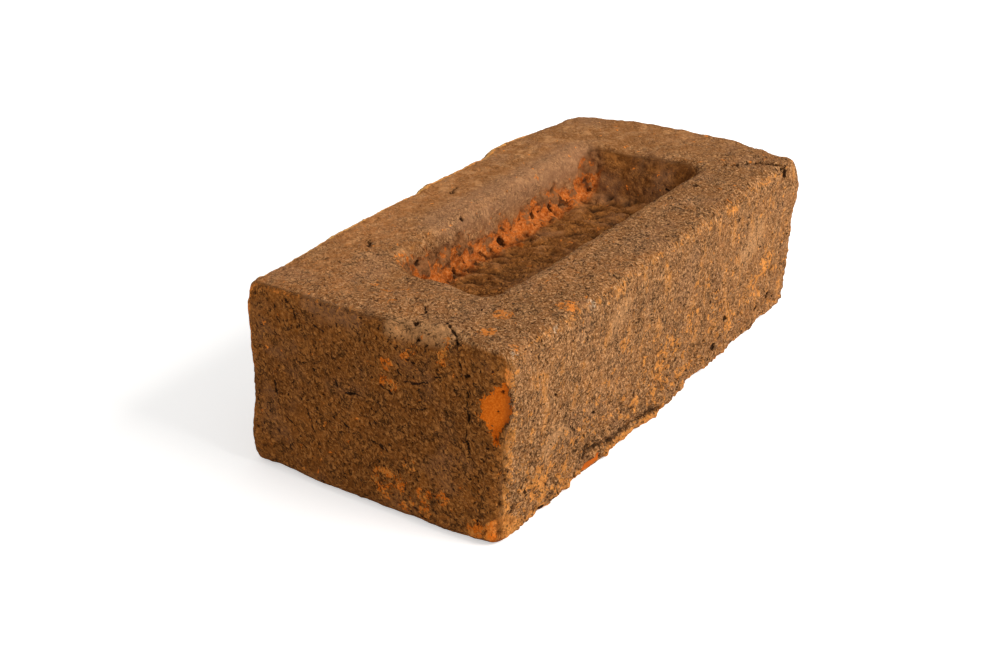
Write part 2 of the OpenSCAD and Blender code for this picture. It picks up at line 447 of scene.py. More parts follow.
def paint(red, green, blue):
    """A colour as a maker reads it off a colour card, from 0 to 255, for a node's socket."""
    return tuple(
        (c / 255 / 12.92) if c <= 10 else ((c / 255 + 0.055) / 1.055) ** 2.4 for c in (red, green, blue)
    ) + (1.0,)


CLAY_SKIN = paint(170, 114, 67)
CLAY_SHADE = paint(132, 86, 46)
CLAY_PALE = paint(236, 174, 116)
CLAY_GREY = paint(156, 118, 90)
TOP_SKIN = paint(174, 111, 60)
# Warmer, deeper copies of the clay's colours for the near end and the frog's shaded walls: painted shade
END_SKIN_WITH_PAINTED_SHADE = paint(166, 98, 37)
WALL_SKIN = paint(146, 95, 57)
# Darker still for the frog's floor and far wall, as painted shade under its rim
FROG_SKIN_WITH_PAINTED_SHADE = paint(121, 74, 34)
END_ORANGE = paint(255, 128, 30)
END_TAN = paint(255, 160, 70)
TOP_GOLD = paint(255, 152, 64)
# Darker and paler tones for the near end and the frog's shaded walls, with the same painted shade
END_DARK_WITH_PAINTED_SHADE = paint(112, 64, 22)
END_PALE_WITH_PAINTED_SHADE = paint(210, 136, 68)
# The dark of the gaps, cracks, holes, crevices and pockets: painted shade, partly dirt in the gaps
CLAY_GAP = paint(34, 15, 3)
RAW_ORANGE = paint(206, 104, 32)
RAW_TAN = paint(236, 148, 72)
TORN_ORANGE = paint(192, 98, 32)
TORN_TAN = paint(216, 134, 70)
TORN_GREY = paint(150, 98, 58)
ARRIS_GOLD = paint(252, 150, 66)
GOLD = paint(250, 165, 82)
# A brighter golden tone where the clay faces +Y on the left edges: painted highlight for a rim of light
PAINTED_RIM_HIGHLIGHT = paint(255, 192, 112)
FLAKE_ORANGE = paint(205, 97, 14)
FLAKE_TAN = paint(226, 118, 30)
FACET_ORANGE = paint(188, 92, 24)
SAND = paint(228, 204, 172)


class Wiring:
    """Adds nodes to a tree and joins them. A value is a number, a vector, a colour or a socket."""

    def __init__(self, tree):
        self.tree = tree

    def add(self, kind, **settings):
        node = self.tree.nodes.new(kind)
        for name, value in settings.items():
            setattr(node, name, value)
        return node

    def feed(self, socket, value):
        if isinstance(value, bpy.types.NodeSocket):
            self.tree.links.new(value, socket)
        else:
            socket.default_value = value

    def joined(self, kind, values, **settings):
        """A new node with its first inputs fed in their order."""
        node = self.add(kind, **settings)
        for socket, value in zip(node.inputs, values):
            self.feed(socket, value)
        return node

    def math(self, operation, *values):
        return self.joined("ShaderNodeMath", values, operation=operation).outputs[0]

    def chain(self, operation, first, others):
        result = first
        for value in others:
            result = self.math(operation, result, value)
        return result

    def plus(self, first, *others):
        return self.chain("ADD", first, others)

    def times(self, first, *others):
        return self.chain("MULTIPLY", first, others)

    def most(self, first, *others):
        return self.chain("MAXIMUM", first, others)

    def least(self, first, *others):
        return self.chain("MINIMUM", first, others)

    def less(self, a, b):
        return self.math("SUBTRACT", a, b)

    def without(self, share):
        """What a share leaves of 1."""
        return self.less(1.0, share)

    def vector(self, operation, *values):
        return self.joined("ShaderNodeVectorMath", values, operation=operation).outputs[0]

    def scaled(self, vector, by):
        node = self.add("ShaderNodeVectorMath", operation="SCALE")
        self.feed(node.inputs[0], vector)
        self.feed(node.inputs["Scale"], by)
        return node.outputs[0]

    def distance(self, a, b):
        return self.joined("ShaderNodeVectorMath", (a, b), operation="DISTANCE").outputs["Value"]

    def dot(self, place, way):
        """How far a place lies along a way."""
        return self.joined("ShaderNodeVectorMath", (place, way), operation="DOT_PRODUCT").outputs["Value"]

    def split(self, vector):
        node = self.joined("ShaderNodeSeparateXYZ", (vector,))
        return node.outputs[0], node.outputs[1], node.outputs[2]

    def axes(self, place):
        """The three parts of a place, by the names of their axes."""
        return dict(zip("xyz", self.split(place)))

    def join(self, x, y, z):
        return self.joined("ShaderNodeCombineXYZ", (x, y, z)).outputs[0]

    def ramp(self, value, start, end, low=0.0, high=1.0, soft=True):
        """Low before start and high after end, with a softened or an even slope between them."""
        kind = "SMOOTHSTEP" if soft else "LINEAR"
        values = (value, start, end, low, high)
        node = self.joined("ShaderNodeMapRange", values, interpolation_type=kind, clamp=False)
        if soft:
            return node.outputs[0]
        return self.most(self.least(node.outputs[0], max(low, high)), min(low, high))

    def fade(self, value, start, end):
        """1 before start and 0 after end."""
        return self.ramp(value, start, end, 1.0, 0.0)

    def blend(self, share, a, b, kind):
        """A where the share is 0 and b where it is 1."""
        node = self.add("ShaderNodeMix", data_type=kind)
        places = {"VECTOR": (4, 5, 1), "RGBA": (6, 7, 2)}[kind]
        self.feed(node.inputs[0], share)
        self.feed(node.inputs[places[0]], a)
        self.feed(node.inputs[places[1]], b)
        return node.outputs[places[2]]

    def colour(self, share, a, b):
        return self.blend(share, a, b, "RGBA")

    def noise(self, place, size, detail=2.0, rough=0.5, twist=0.0):
        """Cloudy noise whose lumps are about one size across; it lies about 0.5."""
        node = self.add("ShaderNodeTexNoise")
        self.feed(node.inputs["Vector"], place)
        node.inputs["Scale"].default_value = 1.0 / size
        node.inputs["Detail"].default_value = detail
        node.inputs["Roughness"].default_value = rough
        node.inputs["Distortion"].default_value = twist
        return node

    def cloud(self, place, size, detail=2.0, rough=0.5, twist=0.0):
        return self.noise(place, size, detail, rough, twist).outputs[0]

    def swing(self, place, size, detail=2.0, rough=0.5):
        """The same noise, moved down so that it lies about 0."""
        return self.less(self.cloud(place, size, detail, rough), 0.5)

    def wander(self, place, size, reach, detail=1.0):
        """The place, moved about by noise as far as the reach."""
        node = self.noise(place, size, detail)
        moved = self.vector("SUBTRACT", node.outputs[1], (0.5, 0.5, 0.5))
        return self.vector("ADD", place, self.scaled(moved, 2.0 * reach))

    def cells(self, place, size):
        """Crumbs about one size across: the distance from each one's middle, and its own colour."""
        node = self.add("ShaderNodeTexVoronoi", feature="F1")
        self.feed(node.inputs["Vector"], place)
        node.inputs["Scale"].default_value = 1.0 / size
        return node.outputs["Distance"], node.outputs["Color"]

    def ridge(self, cloud, width):
        """1 on the lines where the noise crosses its middle, and 0 off them."""
        off = self.math("ABSOLUTE", self.less(cloud, 0.5))
        return self.fade(off, 0.0, width)

    def line(self, along, points):
        """How far across a smooth line lies, at a place along it, through a few points."""
        first, last = points[0][0], points[-1][0]
        low = min(p[1] for p in points)
        high = max(p[1] for p in points)
        node = self.add("ShaderNodeFloatCurve")
        curve = node.mapping.curves[0]
        for p in points[1:-1]:
            curve.points.new((p[0] - first) / (last - first), (p[1] - low) / (high - low))
        curve.points[0].location = (0.0, (points[0][1] - low) / (high - low))
        curve.points[len(points) - 1].location = (1.0, (points[-1][1] - low) / (high - low))
        node.mapping.update()
        self.feed(node.inputs["Value"], self.ramp(along, first, last, soft=False))
        return self.ramp(node.outputs[0], 0.0, 1.0, low, high, soft=False)


def faces(w, facing, wall, start=0.5, end=0.8):
    """1 where the surface faces as a wall does, and 0 where it is turned well away from that."""
    axis, sign = WALLS[wall]
    return w.ramp(w.times(facing[axis], sign), start, end)


def patch(w, place, middle, reach, even=0.0):
    """1 at the middle of a round patch, out to an even share of its reach, and 0 from its reach on."""
    return w.fade(w.distance(place, middle), reach * even, reach)


def sum_of_patches(w, place, patches):
    """The heights of the round patches at a place, added up."""
    total = 0.0
    for middle, reach, height in patches:
        total = w.plus(w.times(patch(w, place, middle, reach), height), total)
    return total


def strongest_patch(w, place, patches, even=0.0):
    """The strongest of the round patches at a place."""
    strongest = 0.0
    for middle, reach, strength in patches:
        strongest = w.most(w.times(patch(w, place, middle, reach, even), strength), strongest)
    return strongest


def from_length(w, place, start, end):
    """How far a place lies from a straight length between two places."""
    run = Vector(end) - Vector(start)
    share = w.dot(w.vector("SUBTRACT", place, start), run / run.length_squared)
    share = w.ramp(share, 0.0, 1.0, soft=False)
    nearest = w.vector("ADD", w.scaled(tuple(run), share), start)
    return w.distance(place, nearest)


def strongest_length(w, place, lengths, even=0.35):
    """The strongest of the straight lengths at a place; each fades to 0 at its reach."""
    strongest = 0.0
    for start, end, reach, strength in lengths:
        fade = w.ramp(from_length(w, place, start, end), reach * even, reach, strength, 0.0)
        strongest = w.most(fade, strongest)
    return strongest


def beading(w, place):
    """How wide cracks and strokes are from place to place, as a share of their own width."""
    return w.ramp(w.cloud(place, BEAD_SIZE, 1.0), 0.40, 0.60, 0.3, 1.5)


def line_share(w, half_widths):
    """1 in the middle of a thin line and 0 outside it, by the half widths from its middle."""
    return w.fade(half_widths, 0.5, 1.3)


def crack_share(w, axes, facing, beads, crack):
    """1 in the middle of a crack and 0 outside it."""
    along = axes[crack.along]
    offset = w.math("ABSOLUTE", w.less(axes[crack.across], w.line(along, crack.points)))
    share = line_share(w, w.math("DIVIDE", offset, w.times(beads, crack.half_width)))
    first, last = crack.points[0][0], crack.points[-1][0]
    share = w.times(share, w.ramp(along, first - 1.0, first + 1.0), w.fade(along, last - 1.0, last + 1.0))
    return w.times(share, faces(w, facing, crack.wall, 0.2, 0.4))


def strongest_crack(w, place, facing, beads, strengths):
    """The strongest of the cracks at a place, each with its own strength. Their lines stray a little."""
    axes = w.axes(w.wander(place, 2.6, 1.2, 2.0))
    strongest = 0.0
    for crack, strength in zip(CRACKS.values(), strengths):
        share = crack_share(w, axes, facing, beads, crack)
        strongest = w.most(w.times(share, strength), strongest)
    return strongest


def inside_holes(w, place):
    """How far a place lies inside the nearest of the small holes."""
    deepest = -9.0
    for middle, radius, _ in HOLES:
        deepest = w.most(w.less(radius, w.distance(place, middle)), deepest)
    return deepest


def nearest_stroke(w, axes):
    """How far a place lies from the nearest dark stroke on the near end, in half widths of the stroke."""
    nearest = 9.0
    for (y_first, z_first), (y_last, z_last), width in STROKES:
        y_run = y_last - y_first
        z_run = z_last - z_first
        y = w.less(axes["y"], y_first)
        z = w.less(axes["z"], z_first)
        share = w.plus(w.times(y, y_run), w.times(z, z_run))
        share = w.ramp(w.times(share, 1.0 / (y_run**2 + z_run**2)), 0.0, 1.0, soft=False)
        y_off = w.less(y, w.times(share, y_run))
        z_off = w.less(z, w.times(share, z_run))
        off = w.math("SQRT", w.plus(w.times(y_off, y_off), w.times(z_off, z_off)))
        nearest = w.least(w.times(off, 1.0 / width), nearest)
    return nearest


def drawn_out(w, place, share):
    """Places for a grain that is drawn out along one way, until its width is this share of its length."""
    along = w.times(w.dot(place, DRAWN_WAY), 1.0 - share)
    return w.vector("SUBTRACT", place, w.scaled(DRAWN_WAY, along))


def in_frog(w, axes):
    """1 inside the frog, below its shoulder, and 0 outside it."""
    middle_x, middle_y = FROG_MIDDLE
    inside_x = w.fade(w.math("ABSOLUTE", w.less(axes["x"], middle_x)), *FROG_HALF_LENGTH)
    inside_y = w.fade(w.math("ABSOLUTE", w.less(axes["y"], middle_y)), *FROG_HALF_WIDTH)
    above_floor = w.ramp(axes["z"], FROG_FLOOR - 4.0, FROG_FLOOR - 3.0)
    return w.times(inside_x, inside_y, above_floor, w.fade(axes["z"], TOP - 2.5, TOP - 0.5))


def torn_share(w, place, axes, frog):
    """1 on the torn clay of the frog's left wall and 0 elsewhere."""
    ragged = w.times(w.swing(place, 6.0, 3.0, 0.6), 14.0)
    below = w.plus(w.less(w.line(axes["x"], TORN_EDGE), axes["z"]), ragged)
    on_left = w.ramp(axes["y"], 13.0, 16.0)
    return w.times(w.ramp(below, -1.5, 1.5), on_left, w.ramp(axes["x"], -66.0, -58.0), frog)


def flake_share(w, place, axes, facing):
    """1 where the flake is lost from the near end, with a jagged edge, and 0 elsewhere."""
    jag = w.times(w.swing(place, 1.5, 4.0, 0.75), 4.2)
    around = w.less(w.times(w.plus(axes["x"], 104.0), 0.6), axes["y"])
    height = w.plus(axes["z"], jag)
    from_left = w.less(w.plus(around, jag), w.line(axes["z"], FLAKE_LEFT))
    from_right = w.less(w.line(axes["z"], FLAKE_RIGHT), w.less(around, w.times(jag, 0.35)))
    from_foot = w.less(height, FLAKE_FOOT)
    from_head = w.less(FLAKE_HEAD, height)
    nearest = w.least(w.least(from_left, from_right), w.least(from_foot, from_head))
    return w.times(w.ramp(nearest, -0.1, 0.1), faces(w, facing, "end", 0.1, 0.2))


def facet_share(w, place):
    """1 on the small smooth facet where the bed edge of the long face is broken, and 0 elsewhere."""
    fray = w.times(w.swing(place, 1.1, 2.0), 1.2)
    return w.fade(w.plus(from_length(w, place, *FACET_ENDS), fray), 1.6, 2.6)


def new_geometry_tree(name, sizes):
    tree = bpy.data.node_groups.new(name, "GeometryNodeTree")
    tree.interface.new_socket("Geometry", in_out="INPUT", socket_type="NodeSocketGeometry")
    for label, value in sizes.items():
        kind = "NodeSocketMaterial" if isinstance(value, bpy.types.Material) else "NodeSocketFloat"
        tree.interface.new_socket(label, in_out="INPUT", socket_type=kind)
    tree.interface.new_socket("Geometry", in_out="OUTPUT", socket_type="NodeSocketGeometry")
    return tree


def set_sizes(modifier, sizes):
    """Sets the modifier's inputs by their identifiers."""
    for item in modifier.node_group.interface.items_tree:
        if item.in_out == "INPUT" and item.name in sizes:
            modifier[item.identifier] = sizes[item.name]


def keep(w, geometry, name, value, kind="FLOAT"):
    """Keeps a value on the points of the skin, for its material."""
    node = w.add("GeometryNodeStoreNamedAttribute", data_type=kind, domain="POINT")
    w.feed(node.inputs["Geometry"], geometry)
    node.inputs["Name"].default_value = name
    w.feed(node.inputs["Value"], value)
    return node.outputs[0]


def fine_relief(w, place, given, low_on_side):
    """Lumps, crumbs, creases and pits all over the clay, and clods low on the long face."""
    grain = drawn_out(w, w.wander(place, 6.0, 1.5), 0.6)
    lumps = w.times(w.swing(grain, LUMP_SIZE, 3.0, 0.6), given["Lump height"])
    from_crumb = w.cells(grain, CRUMB_SIZE)[0]
    crumbs = w.times(w.less(0.45, from_crumb), given["Crumb height"])
    crease = w.ridge(w.cloud(grain, CREASE_SIZE, 2.0, 0.55, 0.6), 0.035)
    crease = w.times(crease, w.ramp(w.cloud(place, 14.0), 0.42, 0.6))
    creases = w.times(crease, given["Crease depth"], -1.0)
    from_pit, pit_tone = w.cells(w.wander(place, 4.0, 1.0), PIT_SIZE)
    pit_radius = w.ramp(w.split(pit_tone)[0], 0.6, 1.0, 0.0, 0.22, soft=False)
    pits = w.times(w.ramp(w.less(pit_radius, from_pit), 0.0, 0.14), given["Pit depth"], -1.0)
    clod = w.times(w.swing(w.wander(place, 3.2, 1.2), CLOD_SIZE, 2.0, 0.5), low_on_side)
    return w.plus(lumps, crumbs, creases, pits, w.times(clod, given["Clod height"]))


def tears(w, place, given):
    """The height of the torn clay: rough hollows with crumbs in them."""
    tear_place = w.wander(place, 5.0, 2.0)
    tear = w.times(w.swing(tear_place, TEAR_SIZE, 4.0, 0.62), given["Tear height"])
    from_crumb = w.cells(tear_place, TORN_CRUMB_SIZE)[0]
    return w.plus(tear, w.less(0.4, from_crumb))


def floor_ripples(w, place):
    """Ripples that the mould's block left on the frog's floor; they lie about 0."""
    across = w.dot(w.wander(place, 14.0, 3.0), ACROSS_RIPPLES)
    along = w.dot(place, ALONG_RIPPLES)
    return w.swing(w.join(across, along, 0.0), RIPPLE_SIZE, 3.0, 0.55)


def open_depth(w, place, facing):
    """The depth of the cracks and the small holes at a place."""
    depths = [crack.depth for crack in CRACKS.values()]
    deepest = strongest_crack(w, place, facing, beading(w, place), depths)
    for middle, radius, depth in HOLES:
        inside = w.ramp(w.distance(place, middle), radius * 0.5, radius * 1.1, depth, 0.0)
        deepest = w.most(inside, deepest)
    return deepest


def flake_move(w, place, flake):
    """The move that takes the lost flake's clay back to the plane that it broke off along."""
    from_break = w.dot(w.vector("SUBTRACT", place, FLAKE_PLACE), FLAKE_WAY)
    broken = w.ramp(w.plus(from_break, 0.35), 0.0, 4.0, 0.0, -4.0, soft=False)
    return w.scaled(FLAKE_WAY, w.times(flake, broken, MM))


def broad_relief(w, place, flake, given):
    """Long waves, and the swells and worn places that are set out one by one."""
    waves = w.times(w.swing(place, WAVE_SIZE, 1.0), given["Wave height"])
    swells = sum_of_patches(w, place, SWELLS)
    start, end, reach, depth = WORN_SHOULDER
    swells = w.less(swells, w.ramp(from_length(w, place, start, end), 0.5, reach, depth, 0.0))
    return w.times(waves, w.without(flake)), swells


def hand_moulded_skin(sizes):
    """A tree that works the smooth solid into clay thrown in a mould by hand, struck off and fired."""
    tree = new_geometry_tree("hand moulded skin", sizes)
    w = Wiring(tree)
    inputs = w.add("NodeGroupInput").outputs
    given = {socket.name: socket for socket in inputs if socket.name}
    position = w.add("GeometryNodeInputPosition").outputs[0]
    normal = w.add("GeometryNodeInputNormal").outputs[0]
    place = w.scaled(position, 1.0 / MM)
    axes = w.axes(place)
    z = axes["z"]
    facing = w.split(normal)

    frog = in_frog(w, axes)
    torn = torn_share(w, place, axes, frog)
    flake = flake_share(w, place, axes, facing)
    facet = facet_share(w, place)
    up = faces(w, facing, "top", 0.6, 0.9)
    frog_floor = w.times(frog, up, w.fade(z, FROG_FLOOR + 1.5, FROG_FLOOR + 4.0))
    bed = faces(w, facing, "bed", 0.6, 0.9)
    side = w.times(faces(w, facing, "side"), w.without(frog))
    low_on_side = w.times(side, w.ramp(z, 45.0, 8.0))

    rough_share = w.plus(0.75, w.times(low_on_side, 0.75), w.times(up, -0.1), w.times(frog_floor, 0.5))
    calm = w.without(w.times(bed, 0.6))
    fine = w.times(fine_relief(w, place, given, low_on_side), rough_share, calm)
    torn_relief = w.times(torn, tears(w, place, given))
    ripples = floor_ripples(w, place)
    floor_relief = w.times(frog_floor, w.times(ripples, given["Ripple height"]))
    facet_relief = w.times(facet, given["Facet depth"], -1.0)
    sound = w.times(w.without(flake), w.without(facet))
    relief = w.plus(w.times(fine, sound), torn_relief, floor_relief, facet_relief)
    relief = w.less(relief, open_depth(w, place, facing))
    waves, swells = broad_relief(w, place, flake, given)
    total = w.plus(relief, waves, swells)

    geometry = keep(w, given["Geometry"], "smooth_place", place, "FLOAT_VECTOR")
    geometry = keep(w, geometry, "facing", normal, "FLOAT_VECTOR")
    for_the_material = {
        "relief": relief,
        "torn": torn,
        "frog": frog,
        "ripples": w.times(ripples, frog_floor),
        "stain": strongest_patch(w, place, ORANGE_STAINS, 0.45),
        "worn": strongest_length(w, place, WORN_AND_RIM_HIGHLIT_ARRISES),
        "golden": strongest_patch(w, place, GOLDEN_WEAR),
        "hole": inside_holes(w, place),
        "facet": facet,
        "sanded": strongest_patch(w, place, SAND_SPOTS),
        "grey": strongest_length(w, place, GREY_SKIN),
        "pale": strongest_length(w, place, PALE_SKIN),
    }
    for name, value in for_the_material.items():
        geometry = keep(w, geometry, name, value)

    worked = w.vector("ADD", position, w.scaled(normal, w.times(total, MM)))
    worked = w.axes(w.vector("ADD", worked, flake_move(w, place, flake)))
    rested = w.join(worked["x"], worked["y"], w.most(worked["z"], 0.0))
    move = w.add("GeometryNodeSetPosition")
    w.feed(move.inputs["Geometry"], geometry)
    w.feed(move.inputs["Position"], rested)
    realize = w.joined("GeometryNodeRealizeInstances", (move.outputs[0],))
    finish = w.add("GeometryNodeSetMaterial")
    w.feed(finish.inputs["Geometry"], realize.outputs[0])
    w.feed(finish.inputs["Material"], given["Clay"])
    w.joined("NodeGroupOutput", (finish.outputs[0],))
    return tree


def new_material(name):
    material = bpy.data.materials.new(name)
    material.use_nodes = True
    material.node_tree.nodes.clear()
    return material, Wiring(material.node_tree)


def kept(w, name, output="Fac"):
    """A value that the tree kept on the points of the skin."""
    return w.add("ShaderNodeAttribute", attribute_name=name, attribute_type="GEOMETRY").outputs[output]


def parts_of_the_brick(w):
    """Where each point of the skin lies and faces, and the share that each part of the brick has in it."""
    at = SimpleNamespace()
    at.place = w.scaled(w.add("ShaderNodeTexCoord").outputs["Object"], 1.0 / MM)
    at.smooth_place = kept(w, "smooth_place", "Vector")
    at.x, at.y, at.z = w.split(at.smooth_place)
    at.facing = w.split(kept(w, "facing", "Vector"))
    at.frog = kept(w, "frog")
    at.torn = kept(w, "torn")
    at.end = faces(w, at.facing, "end")
    at.side = w.times(faces(w, at.facing, "side"), w.without(at.frog))
    at.top = w.times(faces(w, at.facing, "top"), w.without(at.frog))
    at.left_wall = w.times(at.frog, faces(w, at.facing, "side", 0.15, 0.5))
    at.shaded_frog = w.less(at.frog, at.left_wall)
    # The near end and the frog's shaded walls, which take colours with painted shade
    at.dull = w.most(at.end, at.shaded_frog)
    return at


def broken_clay(w, at):
    """1 on the fresh clay of the flake and the facet, and 0 elsewhere."""
    chip_axes = w.axes(w.wander(at.smooth_place, 1.3, 3.2, 3.0))
    flake = flake_share(w, at.smooth_place, chip_axes, at.facing)
    return w.most(flake, w.ramp(kept(w, "facet"), 0.4, 0.6))


def shade_in_openings(w, at):
    """How much painted shade lies in the cracks, the strokes of the end and the holes, from 0 to 1."""
    beads = beading(w, at.smooth_place)
    shares = [crack.darkness for crack in CRACKS.values()]
    cracks = strongest_crack(w, at.smooth_place, at.facing, beads, shares)
    frayed = w.axes(w.wander(at.smooth_place, 1.8, 0.7, 2.0))
    strokes = w.math("DIVIDE", nearest_stroke(w, frayed), beads)
    cracks = w.most(w.times(line_share(w, strokes), at.end), cracks)
    fray = w.times(w.swing(at.smooth_place, 1.1, 2.0), 2.4)
    darkest = w.ramp(at.torn, 0.0, 1.0, 1.0, 0.75)
    return w.most(w.ramp(w.less(kept(w, "hole"), fray), 0.0, 0.5, 0.0, darkest), cracks)


def keenness(w, at):
    """How keenly the grain shows: most on the near parts of the brick, and less on the far ones."""
    towards_camera = w.plus(w.times(at.x, -0.35), w.times(at.y, -1.0))
    keen = w.most(w.ramp(towards_camera, -45.0, 50.0, 0.3, 1.15), w.times(at.end, 0.9))
    keen = w.most(keen, w.times(at.side, w.ramp(at.x, 90.0, -10.0, 0.5, 1.3)))
    turned_away = w.most(*(faces(w, at.facing, wall) for wall in ("left", "far end", "bed")))
    keen = w.most(keen, w.times(turned_away, 0.95))
    far_wall = w.times(at.frog, faces(w, at.facing, "end", 0.3, 0.6))
    keen = w.times(keen, w.less(w.without(w.times(at.frog, 0.2)), w.times(far_wall, 0.4)))
    return w.times(keen, w.ramp(w.cloud(at.place, KEENNESS_SIZE, 2.0, 0.6), 0.36, 0.62, 0.7, 1.4))


def gaps_in_the_grain(w, at, grain):
    """1 in the small gaps, seams and nicks between the grains of the skin, and 0 elsewhere."""
    gap = w.ramp(w.cloud(w.vector("ADD", grain, (31.0, 17.0, 5.0)), GAP_SIZE, 2.0, 0.55), 0.40, 0.33)
    seam = w.ridge(w.cloud(w.vector("ADD", grain, (7.0, 41.0, 23.0)), SEAM_SIZE, 3.0, 0.6), 0.06)
    seam = w.times(seam, w.ramp(w.cloud(at.place, 4.5, 1.0), 0.48, 0.60))
    gap = w.most(gap, w.times(seam, 0.9))
    from_nick, nick_tone = w.cells(drawn_out(w, w.wander(at.place, 4.0, 1.8), 0.28), NICK_SIZE)
    nick = w.times(w.fade(from_nick, 0.07, 0.18), w.ramp(w.split(nick_tone)[1], 0.52, 0.58))
    return w.most(gap, w.times(nick, w.without(at.torn)))


def add_grain(w, at):
    """The fine grain of the skin: its mottle and strands, its gaps, and its height for the bump."""
    strayed = w.wander(at.place, 1.6, 0.8)
    grain = w.blend(at.end, drawn_out(w, strayed, 0.82), drawn_out(w, strayed, 0.6), "VECTOR")
    at.mottle = w.cloud(grain, MOTTLE_SIZE, 4.0, 0.68)
    at.strand = w.ridge(w.cloud(grain, STRAND_SIZE, 1.0, 0.5, 0.5), 0.05)
    at.gap = gaps_in_the_grain(w, at, grain)
    blobs = w.times(w.swing(grain, BLOB_SIZE, 2.0, 0.5), 1.2)
    height = w.plus(w.times(w.less(at.mottle, 0.5), 1.4), w.times(at.strand, 0.2), blobs)
    at.height = w.times(w.less(height, w.times(at.gap, 0.4)), at.sound, at.keen)


def skin_colour(w, at):
    """The brown skin of each wall, shaded and paled in broad, middling and fine patches. The near end and
    the frog's shaded walls take warmer, deeper colours as painted shade; the frog floor's ripples have
    painted shade in their troughs and painted highlight on their crests, and the raised grain is paled,
    partly as painted highlight.
    """
    skin = w.colour(at.top, CLAY_SKIN, TOP_SKIN)
    # Painted shade: the near end and the frog's shaded walls take warmer, deeper colours
    skin = w.colour(at.dull, skin, END_SKIN_WITH_PAINTED_SHADE)
    skin = w.colour(at.shaded_frog, skin, FROG_SKIN_WITH_PAINTED_SHADE)
    skin = w.colour(w.times(at.left_wall, 0.75), skin, WALL_SKIN)
    # Their darker and paler tones carry the same painted shade
    shade = w.colour(at.dull, CLAY_SHADE, END_DARK_WITH_PAINTED_SHADE)
    pale = w.colour(at.dull, CLAY_PALE, END_PALE_WITH_PAINTED_SHADE)
    broad = w.cloud(at.place, BROAD_SIZE, 3.0, 0.55)
    skin = w.colour(w.ramp(broad, 0.38, 0.62, 0.6, 0.0), skin, shade)
    skin = w.colour(w.times(at.top, w.ramp(at.x, -20.0, 95.0), 0.7), skin, shade)
    skin = w.colour(w.ramp(at.middling, 0.52, 0.30, 0.0, 0.6), skin, shade)
    soft = w.cloud(w.vector("ADD", at.place, (3.0, 29.0, 11.0)), SOFT_SIZE, 3.0, 0.6)
    skin = w.colour(w.ramp(soft, 0.49, 0.35, 0.0, 0.6), skin, shade)
    skin = w.colour(w.times(w.ramp(at.middling, 0.45, 0.7), 0.4), skin, pale)
    streak = w.cloud(w.join(at.x, at.y, w.times(at.z, 0.35)), STREAK_SIZE, 3.0, 0.55)
    skin = w.colour(w.times(at.side, w.ramp(streak, 0.46, 0.32), 0.6), skin, shade)
    skin = w.colour(w.times(at.side, w.ramp(streak, 0.53, 0.66), 0.5), skin, GOLD)
    ripples = kept(w, "ripples")
    # Painted shade in the troughs of the frog floor's ripples, and painted highlight on their crests
    skin = w.colour(w.ramp(ripples, -0.02, -0.16, 0.0, 0.6), skin, CLAY_GAP)
    skin = w.colour(w.ramp(ripples, 0.02, 0.18, 0.0, 0.65), skin, CLAY_SKIN)
    greyness = w.times(w.ramp(w.cloud(at.place, GREYNESS_SIZE, 2.0), 0.5, 0.7), 0.3)
    skin = w.colour(w.most(greyness, kept(w, "grey")), skin, CLAY_GREY)
    # Pale raised mottle and strands: pale grain, partly painted highlight on the crumbs' tops
    paleness = w.plus(w.times(w.ramp(at.mottle, 0.49, 0.62), 0.75), w.times(at.strand, 0.35))
    skin = w.colour(w.times(paleness, at.keen), skin, pale)
    return w.colour(kept(w, "pale"), skin, CLAY_PALE)


def body_through_skin(w, at, skin):
    """The skin with the orange and golden body showing: in flecks, in stains and on worn arrises. Where
    it faces +Y, on the left edges, the golden colour is brighter: painted highlight for a rim of light.
    """
    crumbly = w.ramp(at.height, -0.2, 0.4)
    end_orange = w.colour(crumbly, END_ORANGE, END_TAN)
    orange = w.colour(at.end, w.colour(crumbly, RAW_ORANGE, RAW_TAN), end_orange)
    orange = w.colour(w.times(at.top, 0.8), orange, TOP_GOLD)
    gold_and_rim_highlight = w.colour(w.times(w.ramp(at.middling, 0.42, 0.62), 0.6), GOLD, RAW_TAN)
    # Painted highlight: a brighter golden tone where the clay faces +Y, for the rim of light on the left
    # edges
    gold_and_rim_highlight = w.colour(w.ramp(at.facing[1], 0.1, 0.4), gold_and_rim_highlight, PAINTED_RIM_HIGHLIGHT)

    fleck_cloud = w.cloud(w.wander(at.place, 2.4, 0.8), FLECK_SIZE, 3.0, 0.6)
    fleck_cloud = w.plus(fleck_cloud, w.times(at.height, 0.07))
    low = w.ramp(at.z, 56.0, 12.0)
    on_side = w.plus(w.times(at.side, low, 0.06), w.times(at.side, 0.02), kept(w, "golden"))
    flecks = w.ramp(w.less(fleck_cloud, w.less(0.66, on_side)), 0.0, 0.07)
    skin = w.colour(w.times(flecks, 0.9), skin, w.colour(at.side, orange, gold_and_rim_highlight))

    stain_cloud = w.cloud(w.wander(at.place, 2.0, 1.0), STAIN_SIZE, 3.0, 0.7)
    stain_cloud = w.plus(stain_cloud, w.times(at.height, 0.06))
    stained = w.ramp(w.plus(stain_cloud, w.less(kept(w, "stain"), 1.0)), 0.0, 0.10)
    skin = w.colour(w.times(stained, 0.9), skin, orange)
    worn = w.ramp(w.plus(stain_cloud, w.less(kept(w, "worn"), 1.0)), 0.0, 0.16)
    skin = w.colour(w.times(worn, 0.85), skin, w.colour(at.end, gold_and_rim_highlight, ARRIS_GOLD))
    at.bare = w.most(worn, stained, flecks)
    return skin


